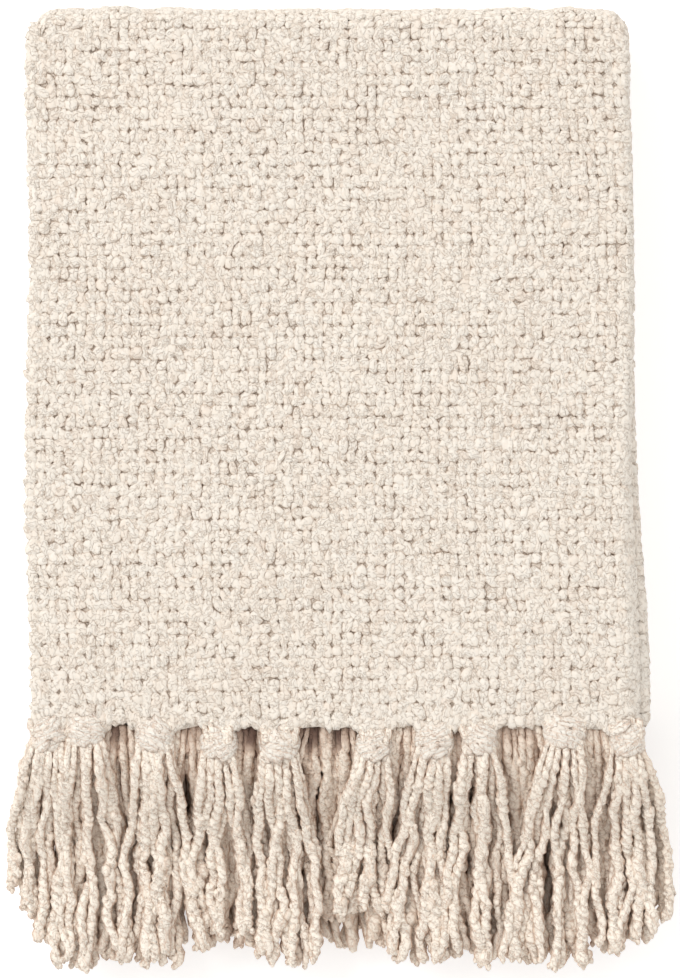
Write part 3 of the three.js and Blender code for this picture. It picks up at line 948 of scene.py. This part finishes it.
def add_tassel(mesh, cloth, sizes, tassel, tie, rng):
    """Adds the yarns of one tassel and the yarns that draw in to its knot."""
    rest = rest_height(tie["rest"])
    start = (tassel["hang"] + tie["loose_from"] * tie["knot_length"]) * MM
    count = tassel["yarns"]
    for i in range(count):
        share = i / (count - 1)
        outer = 0 if tassel["bow"] == 0 else share if tassel["bow"] > 0 else 1 - share
        reach = tassel["reach"] * (1 - SIDE_SHORTER * abs(2 * share - 1) ** 2)
        reach = (reach - tassel["cut"] * outer**CUT_CURVE) * MM + TIP_SPARE - abs(rng.normal(0, TIP_SPREAD))
        layer = (i + tie["levels"] - 1) % tie["levels"]
        distance = np.linspace(start, reach, tie["rings"])
        out = (distance - start) / (reach - start)
        fan = 1 - (1 - out) ** rng.uniform(*FAN_CURVE)
        root_x = (tassel["at"] + (share - 0.5) * tie["throat"] * tassel["width"]) * MM
        tip_x = (tassel["left"] + (tassel["right"] - tassel["left"]) * share) * MM
        tip_x += (1 - OUTER_CALM["tip"] * outer) * rng.normal(0, TIP_STRAY)
        sway = sizes.sway * (1 - OUTER_CALM["sway"] * outer) * ease(out * SWAY_EASE) * (
            random_wave(rng, distance, *LONG_SWAY)
            + SHORT_SWAY_SHARE * random_wave(rng, distance, *SHORT_SWAY)
        )
        curl = (1 - OUTER_CALM["curl"] * outer) * rng.normal(0, TIP_CURL)
        curl = curl * ease((out - TIP_CURL_FROM) / TIP_CURL_RUN)
        level = tie["step"] * MM * layer + rng.uniform(0, LEVEL_SPREAD)
        level = level * (LEVEL_AT_KNOT + (1 - LEVEL_AT_KNOT) * ease(out * LEVEL_EASE))
        bow = tassel["bow"] * MM * outer * np.sin(math.pi * out) ** BOW_CURVE
        bob = BOB * random_wave(rng, distance, *BOB_WAVE) * ease(out * BOB_EASE)
        path = np.stack(
            [
                root_x + (tip_x - root_x) * fan + bow + sway + curl,
                cloth.hem - distance,
                row_height(tie["root"], rest, distance) + level + bob,
            ],
            axis=1,
        )
        # Lower levels and lower rows carry painted shade in their tone
        tone_and_shade = tie["tone_and_shade"] + tie["level_shade_step"] * layer + rng.uniform(0, TONE_SPREAD)
        width = sizes.yarn * rng.normal(1, WIDTH_SPREAD)
        pale = OUTER_PALE * ease((outer - OUTER_PALE_FROM) / OUTER_PALE_RUN)
        hem_shadow = tassel["hem_shadow"] * rng.uniform(*HEM_SHADOW_RANGE)
        add_yarn(mesh, sizes, path, width, tie["sides"], rng, tone_and_shade, hem_shadow, tie["brighter"], pale, tie["curls"])
        for _ in range(tie["fray"]):
            add_fray(mesh, path[-1], path[-1] - path[-3], sizes, tone_and_shade, rng)
    add_draws(mesh, cloth, sizes, tassel, tie, rng)


def add_draws(mesh, cloth, sizes, tassel, tie, rng):
    """Adds the yarns that draw in from the hem to a tassel's knot."""
    out = np.linspace(0, 1, DRAW_POINTS)
    half = cloth.half_width / MM
    narrowed = DRAW_NARROWED * tassel["width"]
    for share in np.linspace(-0.5, 0.5, tie["draws"]):
        x = tassel["at"] + share * (tie["drawn"] + (narrowed - tie["drawn"]) * ease(out))
        x = np.clip(x, -half + DRAW_INSIDE, half + DRAW_INSIDE)
        path = np.stack(
            [
                x * MM + rng.normal(0, DRAW_SPREAD * MM),
                cloth.hem + DRAW_INSIDE * MM - (tassel["hang"] * MM + DRAW_INSIDE * MM) * out,
                tie["root"] - (tie["lift"] - DRAW_FALL * out) * MM,
            ],
            axis=1,
        )
        # The drawn yarns lie on top, with less painted shade
        add_yarn(mesh, sizes, path, sizes.yarn, DRAW_SIDES, rng, tie["tone_and_shade"] + 2 * tie["level_shade_step"])


def add_knot(mesh, cloth, tassel, tie, rng):
    """Adds the drawn-up knot of a tassel: a core with puffy plies around it."""
    hang = tassel["hang"] * MM
    height = row_height(tie["root"], rest_height(tie["rest"]), hang) - tie["sunk"] * MM
    half = np.array((tassel["width"] / 2, tie["knot_length"] / 2, tie["knot"] / 2)) * MM
    skin = KnotSkin(np.array((tassel["at"] * MM, cloth.hem - hang, height)), half)
    u, v = np.meshgrid(
        np.arange(CORE_SIDES) / CORE_SIDES * skin.girth, np.linspace(0, 1, CORE_RINGS) * skin.length
    )
    points = skin.point(u, v, np.full(u.shape, -CORE_SUNK))
    poles = points[[0, -1]].mean(axis=1)
    faces = [np.roll(face[:, ::-1], 1, axis=1) for face in tube_faces(CORE_RINGS, CORE_SIDES)]
    # Low knot tones and the shadow under the hem paint the knot darker; its core carries painted shade too
    tone_and_shade = tie["knot_tone"] - KNOT_HEM_SHADOW * tassel["hem_shadow"]
    mesh.add(np.concatenate([points.reshape(-1, 3), poles]), faces, CORE_SHADE, tone_and_shade)
    around, along = tie["plies"]
    u, v = flat_grid(np.arange(around), np.arange(along))
    count = len(u)
    lean = rng.choice((-1, 1)) * rng.uniform(*KNOT_LEAN)
    spots = np.stack(
        [
            skin.girth * (u + 0.5 * (v % 2) + rng.normal(0, KNOT_STRAY, count)) / around,
            skin.length * (v + 0.5 + rng.normal(0, KNOT_STRAY, count)) / along,
            skin.girth / around * rng.uniform(*KNOT_BROAD, count),
            skin.length / along * rng.uniform(*KNOT_LONG, count),
            rng.normal(lean, KNOT_LEAN_SPREAD, count),
            np.ones(count),
            rng.normal(0, KNOT_MIDDLE_SPREAD, count),
            KNOT_PUFF * np.exp(rng.normal(0, KNOT_PUFF_SPREAD, count)),
        ],
        axis=1,
    )
    weave_floats(mesh, skin, spots, KNOT_FLOAT, rng, tone_and_shade, tie["knot_soft"], True)


def boucle_material(name, colour, crease_shade, surface):
    """Boucle yarn: cream in the light, with painted warm brown shade between the floats, on yarn sides and
    deep in the fringe, and lines of curled fibre.
    """
    made = bpy.data.materials.get(name)
    if made:
        return made
    finish = bpy.context.scene.throw_finish
    material = bpy.data.materials.new(name)
    material.use_nodes = True
    nodes = material.node_tree.nodes
    links = material.node_tree.links
    nodes.clear()
    output = nodes.new("ShaderNodeOutputMaterial")
    shader = nodes.new("ShaderNodeBsdfPrincipled")
    shader.inputs["Specular IOR Level"].default_value = 0.08
    shader.inputs["Sheen Weight"].default_value = finish.sheen
    shader.inputs["Sheen Tint"].default_value = (*colour, 1)
    shader.inputs["Sheen Roughness"].default_value = 0.6
    place = nodes.new("ShaderNodeTexCoord")

    def noise(size, detail, rough, distortion=0.0):
        node = nodes.new("ShaderNodeTexNoise")
        node.noise_dimensions = "4D"
        node.inputs["W"].default_value = surface["seed"]
        node.inputs["Scale"].default_value = 1 / size
        node.inputs["Detail"].default_value = detail
        node.inputs["Roughness"].default_value = rough
        node.inputs["Distortion"].default_value = distortion
        links.new(place.outputs["Object"], node.inputs["Vector"])
        return node.outputs["Fac"]

    def ranged(value, low, high, out_low, out_high):
        node = nodes.new("ShaderNodeMapRange")
        node.interpolation_type = "SMOOTHSTEP"
        node.inputs["From Min"].default_value = low
        node.inputs["From Max"].default_value = high
        node.inputs["To Min"].default_value = out_low
        node.inputs["To Max"].default_value = out_high
        links.new(value, node.inputs["Value"])
        return node.outputs["Result"]

    def tinted(factor, under, tint):
        node = nodes.new("ShaderNodeMix")
        node.data_type = "RGBA"
        first, second = (socket for socket in node.inputs if socket.type == "RGBA")
        links.new(factor, node.inputs[0])
        if isinstance(under, bpy.types.NodeSocket):
            links.new(under, first)
        else:
            first.default_value = (*under, 1)
        second.default_value = (*tint, 1)
        return node.outputs[2]

    def attribute(name):
        node = nodes.new("ShaderNodeAttribute")
        node.attribute_name = name
        return node.outputs["Fac"]

    def worked(operation, value, second=None):
        node = nodes.new("ShaderNodeMath")
        node.operation = operation
        links.new(value, node.inputs[0])
        if second is not None:
            node.inputs[1].default_value = second
        return node.outputs[0]

    def bumped(height, strength, distance, below=None):
        node = nodes.new("ShaderNodeBump")
        node.inputs["Strength"].default_value = strength
        node.inputs["Distance"].default_value = distance
        links.new(height, node.inputs["Height"])
        if below is not None:
            links.new(below, node.inputs["Normal"])
        return node.outputs["Normal"]

    shade = attribute("shade")
    tone_and_shade = attribute("tone_and_shade")
    ply = worked("ABSOLUTE", attribute("ply"))
    loops = noise(surface["loop"], 0.6, 0.5, 0.9)
    lines = ranged(worked("PINGPONG", loops, 0.5), 0.450, 0.496, 1.0, 0.0)
    fibres = noise(finish.fibre, 3.0, 0.6, 0.6)
    patches = noise(PATCH_SIZE, 2.0, 0.5)
    # Each tint: what it follows, the values between which it fades, its share at the first, and its colour
    tints = (
        (fibres, 0.34, 0.58, surface["mottle"], finish.shade),
        # tone: random unevenness, and painted shade on lower yarns
        (tone_and_shade, 0.0, 1.0, surface["uneven"], finish.shade),
        # painted shade on yarns that lie deep in the fringe
        (tone_and_shade, -1.0, 0.3, 1.0, finish.hollow_shade),
        (patches, 0.35, 0.65, PATCH_SHARE, finish.shade),
        # lines of curled fibre, darkened with the crease-shade colour
        (lines, 0.0, 1.0, surface["lines"], crease_shade),
        # painted shade in the furrow between plies
        (ply, 0.0, 0.34, FURROW_SHADE_SHARE, crease_shade),
        # painted shade on rims, on the sides and undersides of yarns and on the sheet
        (shade, 0.0, surface["groove"], surface["depth"], crease_shade),
        # painted shadow deep under the hem
        (tone_and_shade, -1.4, 0.0, 1.0, finish.deep),
    )
    lit = colour
    for value, low, high, share, tint in tints:
        lit = tinted(ranged(value, low, high, share, 0.0), lit, tint)
    links.new(lit, shader.inputs["Base Color"])
    links.new(ranged(fibres, 0.2, 0.8, 1.0, 0.82), shader.inputs["Roughness"])
    normal = bumped(ranged(ply, 0.0, 0.7, 0.0, 1.0), 0.5, 0.0009)
    normal = bumped(lines, 2 * surface["lines"], 0.0006, normal)
    normal = bumped(fibres, FIBRE_BUMP, 0.0011, normal)
    links.new(normal, shader.inputs["Normal"])
    links.new(shader.outputs["BSDF"], output.inputs["Surface"])
    return material


def cloth_material():
    """Yarn of the sheet and of the woven floats."""
    finish = bpy.context.scene.throw_finish
    return boucle_material("woven boucle yarn", finish.yarn, finish.crease_shade, WOVEN_SURFACE)


def fringe_material():
    """Loose yarn of the tassels."""
    finish = bpy.context.scene.throw_finish
    return boucle_material("loose boucle yarn", finish.fringe, finish.gap, LOOSE_SURFACE)


def knot_material():
    """Yarn of the knots that show."""
    finish = bpy.context.scene.throw_finish
    return boucle_material("knotted boucle yarn", finish.knot, finish.gap, KNOT_SURFACE)


class THROW_OT_cloth(bpy.types.Operator):
    """Lay the folded sheet that carries the floats"""

    bl_idname = "throw.cloth"
    bl_label = "Folded cloth"

    def execute(self, context):
        sizes = context.scene.throw_cloth
        cloth = FoldedCloth(sizes)

        def stations(fold, turn_steps):
            parts = []
            for leg in range(LEGS):
                steps = turn_steps if leg % 2 else SHEET_RUN_STEPS
                parts.append(fold.place(leg, np.arange(steps) / steps))
            return np.concatenate([*parts, [fold.legs.sum()]])

        u, v = np.meshgrid(
            stations(cloth.across, SHEET_SIDE_STEPS), stations(cloth.along, SHEET_END_STEPS), indexing="ij"
        )
        mesh = Mesh()
        ids = np.arange(u.size).reshape(u.shape)
        face = np.stack([ids[:-1, :-1], ids[1:, :-1], ids[1:, 1:], ids[:-1, 1:]], axis=2).reshape(-1, 4)
        points = np.concatenate(
            [cloth.point(u, v, np.full(u.shape, side * sizes.core)).reshape(-1, 3) for side in (1, -1)]
        )
        rim = np.concatenate([ids[:, 0], ids[-1, 1:], ids[-2::-1, -1], ids[0, -2:0:-1]])
        after = np.roll(rim, -1)
        edge = np.stack([rim + u.size, after + u.size, after, rim], axis=1)
        # The sheet carries painted crease shade where it shows between the floats
        mesh.add(points, [face, face[:, ::-1] + u.size, edge], SHEET_SHADE, SHEET_TONE)
        piece = mesh.piece("cloth_sheet", cloth_material(), "boucle_cloth")
        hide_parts("cloth")
        return {"FINISHED"}


class THROW_OT_weave(bpy.types.Operator):
    """Weave the puffy floats on the outside of the folded cloth"""

    bl_idname = "throw.weave"
    bl_label = "Woven floats"

    def execute(self, context):
        sizes = context.scene.throw_cloth
        cloth = FoldedCloth(sizes)
        rng = np.random.default_rng(sizes.seed)
        columns = joined_places(
            leg_places(cloth.across, 0, sizes.warp_pitch), turn_places(cloth.across, 1, FACE_TURN_FLOATS)
        )
        self.face(cloth, sizes, columns, rng)
        self.folds(cloth, sizes, columns, rng)
        self.sides(cloth, sizes, rng)
        self.underside(cloth, sizes, rng)
        return {"FINISHED"}

    def face(self, cloth, sizes, columns, rng):
        """The face on top, as a front half and a back half."""
        places, halves = leg_places(cloth.along, 0, sizes.weft_pitch)
        middle = len(places) // 2
        for name, part in (("weave_front", slice(0, middle)), ("weave_back", slice(middle, None))):
            mesh = Mesh()
            spots = weave_grid(columns, (places[part], halves[part]), rng, sizes.puff, FLOAT_MIDDLE)
            # Rims at the edges carry less painted shade; floats on the turned side of the face have paler
            # rims and painted light
            rim = np.minimum(spots[:, :1], spots[:, 1:2]) < sizes.warp_pitch
            turned = spots[:, :1] > cloth.across.place(1, 0)
            soft = np.where(rim, PALE_RIM, np.where(turned, TURNED_RIM, 0.0))
            weave_floats(mesh, cloth, spots, FACE_FLOAT, rng, np.where(turned, TURNED_PAINTED_LIGHT, 0.0), soft)
            mesh.piece(name, cloth_material(), "boucle_cloth")

    def folds(self, cloth, sizes, columns, rng):
        """The rounded folds at the back, and the one at the front behind the fringe."""
        mesh = Mesh()
        along = cloth.along
        for leg in (1, 5):
            rows = turn_places(along, leg, END_TURN_FLOATS)
            spots = weave_grid(columns, rows, rng, sizes.puff, FLOAT_MIDDLE)
            fluff = np.abs(wander(rng, spots[:, 0], spots[:, 1], FOLD_FLUFF, FOLD_FLUFF_WAVE))
            inside = np.minimum(spots[:, 0], columns[0][-1] - spots[:, 0])
            turned = 1 - np.abs(2 * (spots[:, 1] - along.starts[leg]) / along.legs[leg] - 1)
            spots[:, 6] += fluff * ease(inside / FLUFF_FROM_CORNER) * ease(turned / FLUFF_FROM_FACE)
            # Rims at the edge and along the crest carry less painted shade
            rim = spots[:, :1] < sizes.warp_pitch
            rim |= np.abs(spots[:, 1:2] - along.place(leg, CREST_AT)) < CREST_HALF * along.legs[leg]
            weave_floats(mesh, cloth, spots, FACE_FLOAT, rng, 0.0, np.where(rim, PALE_RIM, 0.0))
        under = leg_places(cloth.across, LEGS - 1, sizes.warp_pitch)
        rows = turn_places(along, 3, END_TURN_FLOATS)
        spots = weave_grid(under, rows, rng, sizes.puff, FLOAT_MIDDLE, plies=1)
        weave_floats(mesh, cloth, spots, INSIDE_FLOAT, rng)
        mesh.piece("weave_folds", cloth_material(), "boucle_cloth")

    def sides(self, cloth, sizes, rng):
        """The edges of all the layers at the two sides and at the hems."""
        mesh = Mesh()
        across, along = cloth.across, cloth.along
        rows = joined_places(
            *[
                turn_places(along, leg, RIM_TURN_FLOATS)
                if leg % 2
                else leg_places(along, leg, sizes.weft_pitch)
                for leg in range(LEGS)
            ]
        )
        for leg, side in ((1, 1.0), (3, -1.0), (5, 1.0)):
            columns = turn_places(across, leg, LAYER_TURN_FLOATS)
            spots = weave_grid(columns, rows, rng, LAYER_PUFF, LAYER_MIDDLE, side, EDGE_LOOSE, plies=1)
            # The edges of lower layers carry painted shade
            lower = spots[:, 1:2] > along.place(1, 0.5)
            weave_floats(mesh, cloth, spots, EDGE_FLOAT, rng, np.where(lower, LOWER_LAYER_SHADE, 0.0), PALE_RIM)
        for place in (EDGE_INSET, across.legs.sum() - EDGE_INSET):
            selvedge = (np.array([place]), np.array([SELVEDGE_HALF]))
            spots = weave_grid(selvedge, rows, rng, EDGE_PUFF, 0.0, loose=EDGE_LOOSE, plies=1)
            weave_floats(mesh, cloth, spots, EDGE_FLOAT, rng, 0.0, PALE_RIM)
        pitch = HEM_PITCH_SHARE * sizes.warp_pitch
        columns = joined_places(*[leg_places(across, leg, pitch) for leg in range(0, LEGS, 2)])
        for place in (EDGE_INSET, along.legs.sum() - EDGE_INSET):
            hem = (np.array([place]), np.array([HEM_HALF]))
            spots = weave_grid(columns, hem, rng, EDGE_PUFF, 0.0, loose=HEM_LOOSE, plies=1)
            weave_floats(mesh, cloth, spots, HEM_FLOAT, rng, 0.0, PALE_RIM)
        mesh.piece("weave_edges", cloth_material(), "boucle_cloth")

    def underside(self, cloth, sizes, rng):
        """The face that lies on the floor, pressed flatter."""
        mesh = Mesh()
        rows = leg_places(cloth.along, LEGS - 1, sizes.weft_pitch)
        columns = leg_places(cloth.across, 0, sizes.warp_pitch)
        spots = weave_grid(columns, rows, rng, FLOOR_PUFF, FLOAT_MIDDLE, plies=1)
        weave_floats(mesh, cloth, spots, FLOOR_FLOAT, rng)
        mesh.piece("weave_underside", cloth_material(), "boucle_cloth")


class THROW_OT_tassels(bpy.types.Operator):
    """Tie the two rows of tassels that show"""

    bl_idname = "throw.tassels"
    bl_label = "Tassels that show"

    def execute(self, context):
        sizes = context.scene.throw_fringe
        cloth = FoldedCloth(context.scene.throw_cloth)
        rows = (("front", FRONT_ROW, FRONT_TIE), ("second", SECOND_ROW, SECOND_TIE))
        for number, (name, table, tie) in enumerate(rows):
            rng = np.random.default_rng(sizes.seed + number)
            tie = {**tie, "root": cloth.hem_middle(tie["panel"])[2] + tie["lift"] * MM}
            mesh = Mesh()
            knots = Mesh()
            for row in table:
                tassel = dict(zip(ROW_COLUMNS, row))
                add_tassel(mesh, cloth, sizes, tassel, tie, rng)
                add_knot(knots, cloth, tassel, tie, rng)
            knots.piece(f"tassel_knots_{name}", knot_material(), "boucle_fringe")
            piece = mesh.piece(f"tassels_{name}", fringe_material(), "boucle_fringe")
            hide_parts(*[f"tassel_{name}_{i + 1:02d}" for i in range(len(table))])
        return {"FINISHED"}


class THROW_OT_inner_fringe(bpy.types.Operator):
    """Lay the rows of tassels inside the stack, and hide their parts"""

    bl_idname = "throw.inner_fringe"
    bl_label = "Fringe inside the stack"

    def execute(self, context):
        sizes = context.scene.throw_fringe
        flat = context.scene.throw_cloth
        cloth = FoldedCloth(flat)
        rng = np.random.default_rng(sizes.seed + INNER_SEED)
        for row in INNER_ROWS:
            self.row(cloth, sizes, dict(zip(INNER_COLUMNS, row)), rng)
        return {"FINISHED"}

    def row(self, cloth, sizes, row, rng):
        """One row of tassels, with their knots in the same piece."""
        root = cloth.hem_middle(row["panel"], row["end"] == "upper")
        spread = cloth.half_width - INNER_INSET * MM
        pitch = 2 * spread / INNER_TASSELS / MM
        last = INNER_TASSELS - 1
        mesh = Mesh()
        for i in range(INNER_TASSELS):
            # Inner tassels carry painted shade in their tone, the outermost ones less
            tone_and_shade = INNER_END_SHADE_TONE if i in (0, last) else INNER_SHADE_TONE
            tie = {**INNER_TIE, "root": root[2], "rest": row["rest"], "tone_and_shade": tone_and_shade}
            at = (root[0] - spread) / MM + row["shift"] + (i + 0.5) * pitch
            tassel = {
                **INNER_TASSEL,
                "at": at,
                "left": at - INNER_FAN * pitch - (INNER_LEFT_FAN if i == 0 else 0),
                "right": at + INNER_FAN * pitch + (INNER_RIGHT_FAN if i == last else 0),
                "reach": INNER_REACH + rng.normal(0, INNER_REACH_SPREAD),
            }
            add_tassel(mesh, cloth, sizes, tassel, tie, rng)
            add_knot(mesh, cloth, tassel, tie, rng)
        piece = mesh.piece(f"{row['node']}_yarns", fringe_material(), "boucle_fringe")
        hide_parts(row["node"])


class THROW_OT_stage(bpy.types.Operator):
    """Set the floor, the light and the camera"""

    bl_idname = "throw.stage"
    bl_label = "Stage"

    def execute(self, context):
        scene = context.scene
        stage = scene.throw_stage
        scene.view_settings.view_transform = "Standard"
        scene.view_settings.look = "None"
        self.floor(scene, stage)
        self.light(scene, stage)
        self.camera(scene, stage)
        return {"FINISHED"}

    def floor(self, scene, stage):
        """A wide floor that glows a little, so that it is nearly white."""
        mesh = bpy.data.meshes.new("floor")
        reach = FLOOR_REACH
        corners = [(-reach, -reach, 0), (reach, -reach, 0), (reach, reach, 0), (-reach, reach, 0)]
        mesh.from_pydata(corners, [], [(0, 1, 2, 3)])
        material = bpy.data.materials.new("studio_floor")
        material.use_nodes = True
        shader = material.node_tree.nodes["Principled BSDF"]
        shader.inputs["Base Color"].default_value = (*stage.floor, 1)
        shader.inputs["Emission Color"].default_value = (1, 1, 1, 1)
        shader.inputs["Emission Strength"].default_value = FLOOR_GLOW
        shader.inputs["Roughness"].default_value = 0.9
        shader.inputs["Specular IOR Level"].default_value = 0.1
        mesh.materials.append(material)
        floor = bpy.data.objects.new("floor", mesh)
        scene.collection.objects.link(floor)

    def light(self, scene, stage):
        """Soft light from all around, and one large lamp."""
        world = bpy.data.worlds.new("studio")
        scene.world = world
        world.use_nodes = True
        backdrop = world.node_tree.nodes["Background"]
        backdrop.inputs["Color"].default_value = AMBIENT_COLOUR
        backdrop.inputs["Strength"].default_value = stage.ambient
        lamp = bpy.data.lights.new("key", "AREA")
        lamp.shape = "DISK"
        lamp.size = LAMP_SIZE
        lamp.energy = stage.key
        holder = bpy.data.objects.new("key", lamp)
        holder.location = LAMP_PLACE
        holder.rotation_mode = "QUATERNION"
        aim = Vector(np.array(LAMP_AIM) - np.array(LAMP_PLACE))
        holder.rotation_quaternion = aim.to_track_quat("-Z", "Y")
        scene.collection.objects.link(holder)

    def camera(self, scene, stage):
        """A camera that looks straight down on the stack."""
        top = FoldedCloth(scene.throw_cloth).height
        camera = bpy.data.objects.new("camera", bpy.data.cameras.new("camera"))
        scene.collection.objects.link(camera)
        camera.location = (stage.centre[0], stage.centre[1], top + stage.distance)
        camera.data.sensor_fit = "AUTO"
        camera.data.lens = camera.data.sensor_width * stage.distance / stage.view_height
        camera.data.clip_end = VIEW_END
        scene.camera = camera


class THROW_PT_panel(bpy.types.Panel):
    """Sizes, colours and pieces of the throw"""

    bl_idname = "THROW_PT_panel"
    bl_label = "Boucle throw"
    bl_space_type = "VIEW_3D"
    bl_region_type = "UI"
    bl_category = "Throw"

    def draw(self, context):
        for group in GROUPS:
            settings = getattr(context.scene, group)
            box = self.layout.box()
            for name in settings.__annotations__:
                box.prop(settings, name)
        for operator in OPERATORS:
            self.layout.operator(operator.bl_idname)


GROUPS = {
    "throw_cloth": ThrowCloth,
    "throw_fringe": ThrowFringe,
    "throw_finish": ThrowFinish,
    "throw_stage": ThrowStage,
}
OPERATORS = (THROW_OT_cloth, THROW_OT_weave, THROW_OT_tassels, THROW_OT_inner_fringe, THROW_OT_stage)
CLASSES = (*GROUPS.values(), *OPERATORS, THROW_PT_panel)


def register():
    for cls in CLASSES:
        bpy.utils.register_class(cls)
    for name, group in GROUPS.items():
        setattr(bpy.types.Scene, name, bpy.props.PointerProperty(type=group))


def unregister():
    for name in GROUPS:
        delattr(bpy.types.Scene, name)
    for cls in reversed(CLASSES):
        bpy.utils.unregister_class(cls)


def main():
    register()
    bpy.ops.throw.cloth()
    bpy.ops.throw.weave()
    bpy.ops.throw.tassels()
    bpy.ops.throw.inner_fringe()
    bpy.ops.throw.stage()


if __name__ == "__main__":
    main()
